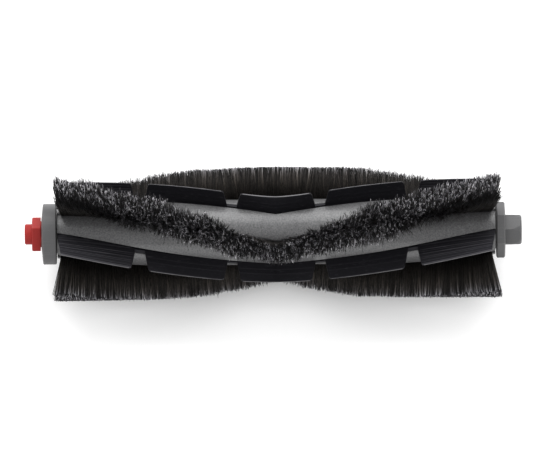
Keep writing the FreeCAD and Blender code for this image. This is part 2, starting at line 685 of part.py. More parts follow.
# Ball bearing
def ring_body(label, bore_radius, rim_radius, start, end, leg):
    """Ring with chamfered edges between two places along the axis."""
    body = new_body(label)
    sketch = new_sketch(body, "RingProfile", "XZ_Plane")
    add_outline(
        sketch,
        [
            (f"{start} + {leg}", bore_radius),
            (start, f"{bore_radius} + {leg}"),
            (start, f"{rim_radius} - {leg}"),
            (f"{start} + {leg}", rim_radius),
            (f"{end} - {leg}", rim_radius),
            (end, f"{rim_radius} - {leg}"),
            (end, f"{bore_radius} + {leg}"),
            (f"{end} - {leg}", bore_radius),
        ],
    )
    revolve(body, "Ring", sketch)
    return body


def cut_race(body):
    """Groove for the balls, round the axis."""
    sketch = new_sketch(body, "RaceProfile", "XZ_Plane")
    add_circle(sketch, "-Derived.bearing_middle", "Derived.ball_circle", "Derived.race_radius")
    revolve(body, "Race", sketch, "PartDesign::Groove")


bearing_start = "-Derived.bearing_end"
bearing_end = "-Derived.bearing_start"
inner_ring = ring_body(
    "bearing_inner_ring",
    "Sizes.axle_radius + Sizes.axle_fit",
    "Sizes.inner_land_radius",
    bearing_start,
    bearing_end,
    "Sizes.ring_chamfer",
)
cut_race(inner_ring)
lay_down(inner_ring)

outer_ring = ring_body(
    "bearing_outer_ring",
    "Sizes.outer_land_radius",
    "Sizes.bearing_radius",
    bearing_start,
    bearing_end,
    "Sizes.ring_chamfer",
)
cut_race(outer_ring)
shield_rim = "Sizes.outer_land_radius + Sizes.shield_seat"
SHIELDS = {
    "bearing_shield_outer": f"{bearing_start} + Sizes.shield_inset",
    "bearing_shield_inner": f"{bearing_end} - Sizes.shield_inset - Sizes.shield_thickness",
}
shield_seats = new_sketch(outer_ring, "ShieldSeats", "XZ_Plane")
for start in SHIELDS.values():
    end = f"{start} + Sizes.shield_thickness"
    inside = "Sizes.outer_land_radius - Sizes.shield_seat"
    add_outline(shield_seats, [(start, inside), (end, inside), (end, shield_rim), (start, shield_rim)])
revolve(outer_ring, "ShieldGrooves", shield_seats, "PartDesign::Groove")
lay_down(outer_ring)

for label, start in SHIELDS.items():
    shield = new_body(label)
    shield_profile = new_sketch(shield, "ShieldProfile", "XZ_Plane")
    end = f"{start} + Sizes.shield_thickness"
    inside = "Sizes.inner_land_radius + Sizes.shield_gap"
    add_outline(shield_profile, [(start, inside), (end, inside), (end, shield_rim), (start, shield_rim)])
    revolve(shield, "Shield", shield_profile)
    lay_down(shield)

cage = new_body("bearing_cage")
cage_profile = new_sketch(cage, "CageProfile", "XZ_Plane")
cage_low = "Derived.ball_circle - Sizes.cage_wall / 2"
cage_high = "Derived.ball_circle + Sizes.cage_wall / 2"
cage_start = "-Derived.bearing_middle - Sizes.cage_width / 2"
cage_end = "-Derived.bearing_middle + Sizes.cage_width / 2"
add_outline(
    cage_profile,
    [(cage_start, cage_low), (cage_end, cage_low), (cage_end, cage_high), (cage_start, cage_high)],
)
revolve(cage, "CageRing", cage_profile)
pocket_outline = new_sketch(cage, "BallPocketOutline", "XY_Plane")
add_circle(pocket_outline, "-Derived.bearing_middle", "0", "Derived.race_radius")
ball_pocket = cage.newObject("PartDesign::Pocket", "BallPocket")
ball_pocket.Profile = pocket_outline
ball_pocket.Reversed = True
ball_pocket.setExpression("Length", "Sizes.bearing_radius")
doc.recompute()
ball_pockets = cage.newObject("PartDesign::PolarPattern", "BallPockets")
ball_pockets.Originals = [ball_pocket]
ball_pockets.Axis = (origin_part(cage, "X_Axis"), [""])
ball_pockets.Angle = 360
ball_pockets.setExpression("Occurrences", "Sizes.ball_count")
cage.Tip = ball_pockets
lay_down(cage)

balls = []
ball_count = round(size("ball_count"))
for index in range(ball_count):
    ball = doc.addObject("Part::Sphere", f"Ball{index + 1}")
    ball.setExpression("Radius", "Sizes.ball_radius")
    angle = f"({360 * index} / Sizes.ball_count)"
    ball.setExpression("Placement.Base.x", "-Derived.bearing_middle")
    ball.setExpression("Placement.Base.y", f"-Derived.ball_circle * sin{angle}")
    ball.setExpression("Placement.Base.z", f"Derived.ball_circle * cos{angle}")
    balls.append(ball)
ball_set = doc.addObject("Part::Compound", "bearing_balls")
ball_set.Label = "bearing_balls"
ball_set.Links = balls
lay_down(ball_set)

# Bearing block: square body, round neck in the recess and round boss, bored for the bearing.
block = new_body("bearing_block")
round_profile = new_sketch(block, "RoundProfile", "XZ_Plane")
neck_end = "-Derived.block_start + Sizes.neck_length"
add_outline(
    round_profile,
    [
        ("-Derived.boss_end", "0"),
        (neck_end, "0"),
        (neck_end, "Sizes.neck_radius"),
        ("-Derived.block_start", "Sizes.neck_radius"),
        ("-Derived.block_start", "Sizes.boss_radius"),
        ("-Derived.boss_end + Sizes.boss_chamfer", "Sizes.boss_radius"),
        ("-Derived.boss_end", "Sizes.boss_radius - Sizes.boss_chamfer"),
    ],
)
revolve(block, "NeckAndBoss", round_profile)
square_outline = new_sketch(block, "SquareOutline", "YZ_Plane", "-Derived.block_start", "Sizes.block_turn")
side_half = "Sizes.block_side / 2"
add_outline(square_outline, both_sides([(side_half, f"-{side_half}"), (side_half, side_half)]))
square = pad(block, "Square", square_outline, "Sizes.block_length", True)
doc.recompute()
block_length = value("Sizes.block_length")
corner_names = [
    f"Edge{i}"
    for i, edge in enumerate(square.Shape.Edges, start=1)
    if isinstance(edge.Curve, Part.Line) and abs(edge.BoundBox.XLength - block_length) < 1e-4
]
corners = block.newObject("PartDesign::Fillet", "SquareCorners")
corners.Base = (square, corner_names)
corners.setExpression("Radius", "Sizes.block_corner")
doc.recompute()
block_end = -value("Derived.block_end")
boss_radius = value("Sizes.boss_radius")


def is_square_edge(edge):
    from_axis = edge.CenterOfMass.distanceToPoint(Vector(block_end, 0, 0))
    return at_place(edge, block_end) and from_axis > boss_radius


chamfer(block, "SquareEdge", corners, is_square_edge, "Sizes.block_edge")
bearing_bore = new_sketch(block, "BearingBore", "XZ_Plane")
seat_radius = "Sizes.bearing_radius + Sizes.bearing_fit"
blind_end = "-Derived.axle_end - Sizes.axle_pocket_room"
add_outline(
    bearing_bore,
    [
        (blind_end, "0"),
        (f"{neck_end} + {SLOT_OVERRUN}", "0"),
        (f"{neck_end} + {SLOT_OVERRUN}", seat_radius),
        ("-Derived.bearing_end", seat_radius),
        ("-Derived.bearing_end", "Sizes.axle_pocket_radius"),
        (blind_end, "Sizes.axle_pocket_radius"),
    ],
)
revolve(block, "Bore", bearing_bore, "PartDesign::Groove")
lay_down(block)

doc.recompute()

# Export, once every object of the document has come out sound.
for part in doc.Objects:
    if "Invalid" in part.State or "Error" in part.State:
        raise RuntimeError(f"{part.Name} failed: {part.State}")

PIECES = [core, cap, drive, axle, inner_ring, outer_ring, cage, ball_set, block]
PIECES += [part for part in doc.Objects if part.Label.startswith(("bristle_", "wiper_", "bearing_shield"))]
os.makedirs("parts", exist_ok=True)
for piece in PIECES:
    shape = piece.Shape
    if shape.isNull() or not shape.isValid():
        raise RuntimeError(f"{piece.Label} has no sound shape")
    shape.exportStep(f"parts/{piece.Label}.step")
    print(piece.Label, len(shape.Solids), round(shape.Volume, 2))
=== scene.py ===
# %% [markdown]
# # A roller brush, dressed for its picture
# The brush has a grey barrel-shaped core, three V-shaped rows of bristles, three V-shaped rubber
# blades, a round flange with a red bearing block at one end and a six-sided drive stub at the other.
# The rigid pieces come finished from the CAD model. This lesson grows the bristles strand by strand,
# gives every piece a finish made of nodes, and sets up the floor, the lamps and the camera.

# %% Load the frame
import json
import math
import random

import bmesh
import bpy
from mathutils import Matrix, Vector, noise


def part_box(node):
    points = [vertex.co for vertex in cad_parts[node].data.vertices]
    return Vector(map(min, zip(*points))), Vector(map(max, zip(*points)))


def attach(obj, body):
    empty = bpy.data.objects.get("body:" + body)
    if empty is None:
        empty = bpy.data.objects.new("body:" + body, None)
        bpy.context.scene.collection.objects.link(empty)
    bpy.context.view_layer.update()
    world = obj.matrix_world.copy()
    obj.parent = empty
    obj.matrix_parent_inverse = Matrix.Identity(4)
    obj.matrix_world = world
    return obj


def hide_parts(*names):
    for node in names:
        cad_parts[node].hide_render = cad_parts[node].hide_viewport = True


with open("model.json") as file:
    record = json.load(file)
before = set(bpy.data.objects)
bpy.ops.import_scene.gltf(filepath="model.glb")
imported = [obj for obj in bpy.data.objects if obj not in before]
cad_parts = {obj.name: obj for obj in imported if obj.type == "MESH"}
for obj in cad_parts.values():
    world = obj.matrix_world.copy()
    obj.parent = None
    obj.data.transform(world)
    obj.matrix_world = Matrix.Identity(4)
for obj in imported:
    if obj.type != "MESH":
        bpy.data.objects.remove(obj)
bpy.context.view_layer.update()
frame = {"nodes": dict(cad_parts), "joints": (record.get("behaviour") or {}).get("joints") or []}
nodes = frame["nodes"]

# %% [markdown]
# Everything on the brush is arranged about one axis. Its height is the height of the bearing's joint,
# and its middle is the middle of the core, so both are read from the frame and not typed in again.

# %% The axis of the roller
MM = 0.001
AXIS_HEIGHT = frame["joints"][0]["pos_m"][2]
core_low, core_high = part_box("roller_core")
MIDDLE = (core_low[0] + core_high[0]) / 2
CORE_HALF = (core_high[0] - core_low[0]) / 2
print(f"axis at {AXIS_HEIGHT / MM:.2f} mm")
print(f"core half {CORE_HALF / MM:.2f} mm, middle {MIDDLE / MM:.2f} mm")

# %% [markdown]
# A row of bristles runs along the core as a wide V: its root turns steadily about the axis from the
# middle to each end. A point on the brush is therefore easiest to give as a place along the axis, a
# turn about it, a distance out from it and a distance across the row. One small function turns those
# four numbers into a point of the scene, and everything that stands on the core uses it.

# %% Places on the roller
ROW_COUNT = 3
REST_TURN = math.radians(35.412)
ROW_TWIST = math.radians(76.2)
CORE_MID_RADIUS = 18.4 * MM
CORE_END_RADIUS = 13.7 * MM
CORE_STRAIGHT = 55.0 * MM
ARC_RUN = CORE_HALF - CORE_STRAIGHT
ARC_DROP = CORE_MID_RADIUS - CORE_END_RADIUS
ARC_RADIUS = (ARC_RUN**2 + ARC_DROP**2) / (2 * ARC_DROP)


def core_radius(place):
    """Radius of the barrel-shaped core at a place along the axis."""
    past = max(0.0, abs(place) - CORE_STRAIGHT)
    return CORE_MID_RADIUS - ARC_RADIUS + math.sqrt(ARC_RADIUS**2 - past**2)


def row_turn(row, place, twist):
    """Turn of a bristle row about the axis at a place along it."""
    return REST_TURN + 2 * math.pi * row / ROW_COUNT - twist * abs(place) / CORE_HALF


def on_roller(place, turn, out, across=0.0):
    """Point at a place along the axis, a turn about it, a distance out and a distance across."""
    y = -math.sin(turn) * out + math.cos(turn) * across
    z = math.cos(turn) * out + math.sin(turn) * across
    return Vector((MIDDLE + place, y, AXIS_HEIGHT + z))


print("core radius at the middle and the end, mm:", core_radius(0) / MM, core_radius(CORE_HALF) / MM)

# %% [markdown]
# Real bristles are straight nylon strands, about a quarter of a millimetre thick, gripped in a narrow
# groove and fanning out to the sweep of their tips. A particle system would show them, but it would
# not export as a mesh. Here each strand is a straight three-sided rod, so there can be very many.
#
# No two strands lean quite the same way, and bristles also cling together at their tips. So each tip
# gets a lean of its own, then the tips are sorted into small cells, each cell gets one centre, length
# and shade, and its strands lean a little towards it. Handling also leaves slow waves in a row. The fan
# is narrow in the middle of a row and nearly twice as wide at its ends, and its tips turn a little less
# about the axis than its roots. Blender's noise starts from the clock unless it is given a seed, so the
# seed is set first, and every run grows the same strands.

# %% Where one strand goes
ROOT_REACH = 121.0 * MM
ROOT_HALF = 0.45 * MM
ROOT_DEPTH = 1.2 * MM
TIP_TWIST = math.radians(65.4)
TIP_MID_SWEEP = 37.0 * MM
TIP_END_SWEEP = 38.2 * MM
TIP_MID_HALF = 6.2 * MM
TIP_END_HALF = 11.0 * MM
FAN_OPENS = 0.45
END_FLARES = {-1: 3.2 * MM, 1: 4.4 * MM}
CLUMP = 0.68 * MM
PARTING = 4.5 * MM
WAVE = 13.0 * MM
WAVE_SIZE = 2.6 * MM
WAVE_SEED = 175
FREE_SHARE = 0.05
STRAND_RADIUS = 0.12 * MM
SPREAD_EDGE = 0.92
SPREAD_STRAY = 0.09
FAN_SWAY = 0.2
END_POWER = 7
END_HOLD = 0.8
FLARE_RANGE = (0.6, 1.3)
WAVE_RISE = (0.03, 0.18)
PULL_RANGE = (0.4, 0.9)
FREE_SHORT = (-0.02, 0.06)
LENGTH_STRAY = 0.008
CLUMP_SHADE = (0.6, 1.4)
# Painted light: strands grow lighter towards the ends of a row.
END_PAINTED_LIGHT = 0.1
TONE_STRAY = 0.10
# Painted shade: near the ends of a row, strands on one side of the fan are darkened.
PAINTED_SHADE = 0.65
PAINTED_SHADE_ALONG = (0.4, 0.85)
PAINTED_SHADE_ACROSS = (0.0, 0.7)
noise.seed_set(WAVE_SEED)

# How far tips stray along and across the row, in millimetres.
CLUMP_STRAY = (2.4, 0.8)
TIP_STRAY = (1.2, 0.5)
FREE_STRAY = (1.1, 0.9)
DRIFT = (0.9, 0.7)


def new_clump(rng):
    """Lean along and across, shortening and shade that the strands of a clump share."""
    lean = [rng.gauss(0.0, stray) * MM for stray in CLUMP_STRAY]
    return *lean, abs(rng.gauss(0.0, LENGTH_STRAY)), rng.betavariate(*CLUMP_SHADE)


def smooth(value, low, high):
    """Rises smoothly from nought at the low value to one at the high value."""
    share = max(0.0, min(1.0, (value - low) / (high - low)))
    return share * share * (3.0 - 2.0 * share)


def strand(rng, row, place, clumps):
    """Root and tip of one strand, and its tone."""
    share = abs(place) / ROOT_REACH
    spread = rng.uniform(-SPREAD_EDGE, SPREAD_EDGE) + rng.gauss(0.0, SPREAD_STRAY)
    fan = TIP_MID_HALF + (TIP_END_HALF - TIP_MID_HALF) * smooth(share, 0.0, FAN_OPENS)
    wave = noise.noise_vector(Vector((place / WAVE, 5.0 * row, 0.5)))
    across = spread * fan * (1.0 + FAN_SWAY * wave.y) + rng.gauss(0.0, TIP_STRAY[1]) * MM
    side = int(math.copysign(1, place))
    flare = side * END_FLARES[side] * share**END_POWER * rng.uniform(*FLARE_RANGE)
    loose = 1.0 - END_HOLD * share**END_POWER
    along = place + flare + loose * rng.gauss(0.0, TIP_STRAY[0]) * MM
    across += loose * smooth(share, *WAVE_RISE) * WAVE_SIZE * wave.x
    drift = noise.noise_vector(Vector((along / PARTING, across / PARTING, 9.0 * row))) * MM
    along += DRIFT[0] * drift.x
    across += DRIFT[1] * drift.y
    cell = (math.floor((along + drift.z) / CLUMP), math.floor((across - drift.z) / CLUMP))
    if cell not in clumps:
        clumps[cell] = new_clump(rng)
    lean_along, lean_across, short, shade = clumps[cell]
    pull = rng.uniform(*PULL_RANGE)
    if rng.random() < FREE_SHARE:
        pull = 0.0
        short = rng.uniform(*FREE_SHORT)
        along += rng.gauss(0.0, FREE_STRAY[0]) * MM
        across += rng.gauss(0.0, FREE_STRAY[1]) * MM
    along += pull * (CLUMP * (cell[0] + 0.5) + loose * lean_along - along)
    across += pull * (CLUMP * (cell[1] + 0.5) + lean_across - across)
    sweep = TIP_MID_SWEEP + (TIP_END_SWEEP - TIP_MID_SWEEP) * share
    sweep *= 1.0 - short - abs(rng.gauss(0.0, LENGTH_STRAY))
    root_turn = row_turn(row, place, ROW_TWIST)
    root_out = core_radius(place) - ROOT_DEPTH
    root = on_roller(place, root_turn, root_out, ROOT_HALF * spread)
    tip_out = math.sqrt(sweep**2 - across**2)
    tip = on_roller(along, row_turn(row, place, TIP_TWIST), tip_out, across)
    tip.z = max(tip.z, STRAND_RADIUS)
    # Painted light: strands grow lighter towards the ends of a row.
    tone = shade + END_PAINTED_LIGHT * share**2 + rng.gauss(0.0, TONE_STRAY)
    # Painted shade: near the ends of a row, strands on one side of the fan are darkened.
    tone *= 1.0 - PAINTED_SHADE * smooth(share, *PAINTED_SHADE_ALONG) * smooth(-spread, *PAINTED_SHADE_ACROSS)
    return root, tip, max(0.0, min(1.0, tone))


# %% [markdown]
# A call of a bmesh operator costs more the bigger the mesh already is, so one call for each strand
# would be slow. Instead one triangle is made and doubled until there are enough, each triangle is
# moved to the root of its strand, and one extrude call then grows all the strands of half a row at
# once. Each strand keeps a tone of its own and how far out it is, in attributes that the finish reads.

# %% Grow half a row
STRANDS_PER_HALF = 20000
TIP_TAPER = 0.8
# Painted shade: every strand starts from this dark tone at its root.
PAINTED_ROOT_SHADE = 0.15


def triangles(bm, count):
    """Doubles one triangle until there are enough of them."""
    bmesh.ops.create_circle(bm, cap_ends=True, segments=3, radius=STRAND_RADIUS)
    while len(bm.faces) < count:
        missing = count - len(bm.faces)
        bmesh.ops.duplicate(bm, geom=bm.faces[:missing])
    return bm.faces


def grow_half_row(name, row, side):
    """One half of a bristle row as one mesh of closed three-sided rods."""
    rng = random.Random(f"{name} strands")
    clumps = {}
    strands = []
    for count in range(STRANDS_PER_HALF):
        place = side * ROOT_REACH * (count + rng.random()) / STRANDS_PER_HALF
        strands.append(strand(rng, row, place, clumps))
    bm = bmesh.new()
    number = bm.faces.layers.int.new("strand")
    tone = bm.verts.layers.float.new("tone")
    along = bm.verts.layers.float.new("along")
    for count, face in enumerate(triangles(bm, STRANDS_PER_HALF)):
        root, tip, _ = strands[count]
        aim = (tip - root).to_track_quat("Z", "Y").to_matrix().to_4x4()
        place = Matrix.Translation(root) @ aim @ Matrix.Rotation(rng.uniform(0, math.tau), 4, "Z")
        face[number] = count
        for vert in face.verts:
            vert.co = place @ vert.co
            # Painted shade: the root end of every strand gets the same dark tone.
            vert[tone] = PAINTED_ROOT_SHADE
    for face in bmesh.ops.extrude_discrete_faces(bm, faces=bm.faces[:])["faces"]:
        root, tip, shade = strands[face[number]]
        for vert in face.verts:
            vert.co = tip + TIP_TAPER * (vert.co - root)
            vert[tone] = shade
            vert[along] = 1.0
    bmesh.ops.holes_fill(bm, edges=[edge for edge in bm.edges if edge.is_boundary], sides=3)
    bmesh.ops.recalc_face_normals(bm, faces=bm.faces)
    for face in bm.faces:
        face.smooth = True
    mesh = bpy.data.meshes.new(name)
    bm.to_mesh(mesh)
    bm.free()
    piece = bpy.data.objects.new(name, mesh)
    bpy.context.scene.collection.objects.link(piece)
    return piece


bristle_rows = []
for row in range(ROW_COUNT):
    for side, side_name in ((-1, "bearing_side"), (1, "drive_side")):
        piece = grow_half_row(f"bristles_{row + 1}_{side_name}", row, side)
        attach(piece, "roller")
        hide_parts(f"bristle_tufts_{row + 1}")
        bristle_rows.append(piece)
        piece.data.calc_loop_triangles()
        print(piece.name, len(piece.data.loop_triangles), "triangles")

# %% [markdown]
# Every finish starts from the same few nodes, so two small helpers add a node and join two sockets.
# What several finishes share is a node group, built once. The first is the fine grain that a mould
# leaves on plastic and rubber: it puts out a height for a bump and a slow mottle for tone and gloss.


# %% Helpers for node trees
def add(tree, kind, x, y, **settings):
    """Adds a node, sets its properties and its input values by name."""
    node = tree.nodes.new(kind)
    node.location = (x, y)
    for key, setting in settings.items():
        if key in node.inputs:
            node.inputs[key].default_value = setting
        else:
            setattr(node, key, setting)
    return node


def join(tree, source, target):
    tree.links.new(source, target)


def new_group(name, inputs, outputs):
    """Empty node group with named sockets, and its two end nodes."""
    group = bpy.data.node_groups.new(name, "ShaderNodeTree")
    for socket, kind, value in inputs:
        made = group.interface.new_socket(socket, in_out="INPUT", socket_type=kind)
        if value is not None:
            made.default_value = value
    for socket, kind in outputs:
        group.interface.new_socket(socket, in_out="OUTPUT", socket_type=kind)
    return group, group.nodes.new("NodeGroupInput"), group.nodes.new("NodeGroupOutput")


def new_finish(name):
    """Material with a Principled shader, its tree and Object coordinates."""
    material = bpy.data.materials.new(name)
    material.use_nodes = True
    tree = material.node_tree
    tree.nodes.clear()
    out = add(tree, "ShaderNodeOutputMaterial", 900, 0)
    shader = add(tree, "ShaderNodeBsdfPrincipled", 600, 0)
    place = add(tree, "ShaderNodeTexCoord", -900, 0)
    join(tree, shader.outputs["BSDF"], out.inputs["Surface"])
    return material, tree, shader, place.outputs["Object"]


def place_group(tree, group, x, y, **values):
    node = tree.nodes.new("ShaderNodeGroup")
    node.node_tree = group
    node.location = (x, y)
    for key, setting in values.items():
        node.inputs[key].default_value = setting
    return node


# %% The grain that a mould leaves
grain, grain_in, grain_out = new_group(
    "moulded_grain",
    [("Place", "NodeSocketVector", None), ("Fineness", "NodeSocketFloat", 2400.0)],
    [("Height", "NodeSocketFloat"), ("Mottle", "NodeSocketFloat")],
)
fine = add(grain, "ShaderNodeTexNoise", -300, 120, Detail=2.0, Roughness=0.6)
slow = add(grain, "ShaderNodeTexNoise", -300, -140, Scale=60.0, Detail=4.0, Roughness=0.55)
for texture in (fine, slow):
    join(grain, grain_in.outputs["Place"], texture.inputs["Vector"])
join(grain, grain_in.outputs["Fineness"], fine.inputs["Scale"])
join(grain, fine.outputs["Fac"], grain_out.inputs["Height"])
join(grain, slow.outputs["Fac"], grain_out.inputs["Mottle"])
print("group:", grain.name)

# %% [markdown]
# Handling leaves short fine scuffs that run along the roller more than round it. Noise stretched
# along the axis gives them, and a ramp keeps only its crests.

# %% Scuffs along the roller
scuffs, scuffs_in, scuffs_out = new_group(
    "axial_scuffs",
    [("Place", "NodeSocketVector", None)],
    [("Scuff", "NodeSocketFloat")],
)
stretch = add(scuffs, "ShaderNodeMapping", -600, 0)
stretch.inputs["Scale"].default_value = (90.0, 1400.0, 1400.0)
streak = add(scuffs, "ShaderNodeTexNoise", -400, 0, Scale=1.0, Detail=3.0, Roughness=0.6)
crest = add(scuffs, "ShaderNodeMapRange", -200, 0)
crest.inputs["From Min"].default_value = 0.58
crest.inputs["From Max"].default_value = 0.75
join(scuffs, scuffs_in.outputs["Place"], stretch.inputs["Vector"])
join(scuffs, stretch.outputs["Vector"], streak.inputs["Vector"])
join(scuffs, streak.outputs["Fac"], crest.inputs["Value"])
join(scuffs, crest.outputs["Result"], scuffs_out.inputs["Scuff"])
print("group:", scuffs.name)


# %% [markdown]
# The core and the end caps are satin moulded plastic in one grey family. The finish mixes two close
# tones by the mottle, lightens the scuffs a little and takes its bump from the grain. The same
# function paints the red block and the spines with other tones.


# %% Satin moulded plastic
SCUFF_PALE = 0.25
GLOSS_SWING = 0.07
GRAIN_DEPTH = 0.05 * MM


def moulded_plastic(name, dark, light, rough, fineness, bump, specular=0.5, speckle=0.06):
    material, tree, shader, place = new_finish(name)
    grained = place_group(tree, grain, -600, 100, Fineness=fineness)
    scuffed = place_group(tree, scuffs, -600, -200)
    join(tree, place, grained.inputs["Place"])
    join(tree, place, scuffed.inputs["Place"])
    tones = add(tree, "ShaderNodeMix", -250, 200, data_type="RGBA")
    tones.inputs["A"].default_value = (*dark, 1.0)
    tones.inputs["B"].default_value = (*light, 1.0)
    join(tree, grained.outputs["Mottle"], tones.inputs["Factor"])
    pale = add(tree, "ShaderNodeMix", 0, 200, data_type="RGBA", blend_type="SCREEN")
    pale.inputs["B"].default_value = (*(SCUFF_PALE * tone for tone in light), 1.0)
    join(tree, scuffed.outputs["Scuff"], pale.inputs["Factor"])
    join(tree, tones.outputs["Result"], pale.inputs["A"])
    specks = add(tree, "ShaderNodeMapRange", 0, 450)
    specks.inputs["From Min"].default_value = 0.3
    specks.inputs["From Max"].default_value = 0.7
    specks.inputs["To Min"].default_value = 1.0 - speckle
    specks.inputs["To Max"].default_value = 1.0 + speckle
    join(tree, grained.outputs["Height"], specks.inputs["Value"])
    speckled = add(tree, "ShaderNodeMix", 250, 200, data_type="RGBA", blend_type="MULTIPLY")
    speckled.inputs["Factor"].default_value = 1.0
    join(tree, pale.outputs["Result"], speckled.inputs["A"])
    join(tree, specks.outputs["Result"], speckled.inputs["B"])
    join(tree, speckled.outputs["Result"], shader.inputs["Base Color"])
    gloss = add(tree, "ShaderNodeMapRange", 0, -100)
    gloss.inputs["To Min"].default_value = rough - GLOSS_SWING
    gloss.inputs["To Max"].default_value = rough + GLOSS_SWING
    join(tree, grained.outputs["Mottle"], gloss.inputs["Value"])
    join(tree, gloss.outputs["Result"], shader.inputs["Roughness"])
    relief = add(tree, "ShaderNodeBump", 300, -250, Strength=bump, Distance=GRAIN_DEPTH)
    join(tree, grained.outputs["Height"], relief.inputs["Height"])
    join(tree, relief.outputs["Normal"], shader.inputs["Normal"])
    shader.inputs["Specular IOR Level"].default_value = specular
    print("finish:", name)
    return material


core_grey = moulded_plastic(
    "core_grey", dark=(0.096, 0.096, 0.098), light=(0.126, 0.126, 0.129),
    rough=0.34, fineness=1300.0, bump=1.0, specular=0.5, speckle=0.4,
)
cap_grey = moulded_plastic(
    "cap_grey", dark=(0.085, 0.085, 0.087), light=(0.105, 0.105, 0.107),
    rough=0.48, fineness=2200.0, bump=0.4, specular=0.3,
)
spine_grey = moulded_plastic(
    "spine_grey", dark=(0.075, 0.075, 0.078), light=(0.11, 0.11, 0.114),
    rough=0.45, fineness=2600.0, bump=0.3,
)
block_red = moulded_plastic(
    "block_red", dark=(0.31, 0.027, 0.024), light=(0.36, 0.034, 0.031),
    rough=0.55, fineness=2000.0, bump=0.3, specular=0.1,
)

# %% [markdown]
# The blades are black rubber. Rubber is never quite even: it is a little greyer where it was flexed
# and has a faint bloom in patches. Two tones by the slow mottle, a high roughness and the grain do it.
# The very tip of a blade is painted pale, a painted highlight along its edge. It is found by its
# distance from the axis, and the bearing's steel uses that distance too. The flaps at the two ends get
# fine pale lines along them, which are noise over the same distance.

# %% Distance from the axis
# Painted highlight: the pale band along the blade tips starts and ends at these distances from the
# axis.
TIP_HIGHLIGHT_FROM = 28.93 * MM
TIP_HIGHLIGHT_FULL = 29.03 * MM
END_LINES_FROM = 79.0 * MM
END_LINES_FULL = 83.0 * MM


def axis_distance(tree, place, x, y):
    """Distance of a point of the surface from the axis of the roller."""
    centre = add(tree, "ShaderNodeVectorMath", x, y, operation="SUBTRACT")
    centre.inputs[1].default_value = (0.0, 0.0, AXIS_HEIGHT)
    join(tree, place, centre.inputs[0])
    flat = add(tree, "ShaderNodeVectorMath", x + 180, y, operation="MULTIPLY")
    flat.inputs[1].default_value = (0.0, 1.0, 1.0)
    join(tree, centre.outputs["Vector"], flat.inputs[0])
    distance = add(tree, "ShaderNodeVectorMath", x + 360, y, operation="LENGTH")
    join(tree, flat.outputs["Vector"], distance.inputs[0])
    return distance.outputs["Value"]


# %% Black rubber
RUBBER_DARK = (0.0095, 0.0093, 0.0117, 1.0)
RUBBER_LIGHT = (0.0142, 0.0138, 0.0172, 1.0)
RUBBER_BLOOM = (0.020, 0.0198, 0.022, 1.0)
RUBBER_LINES = (0.045, 0.044, 0.048, 1.0)
RUBBER_TIP_HIGHLIGHT = (0.16, 0.157, 0.165, 1.0)
LINES_PER_METRE = 1200.0
RUBBER_GRAIN_DEPTH = 0.06 * MM


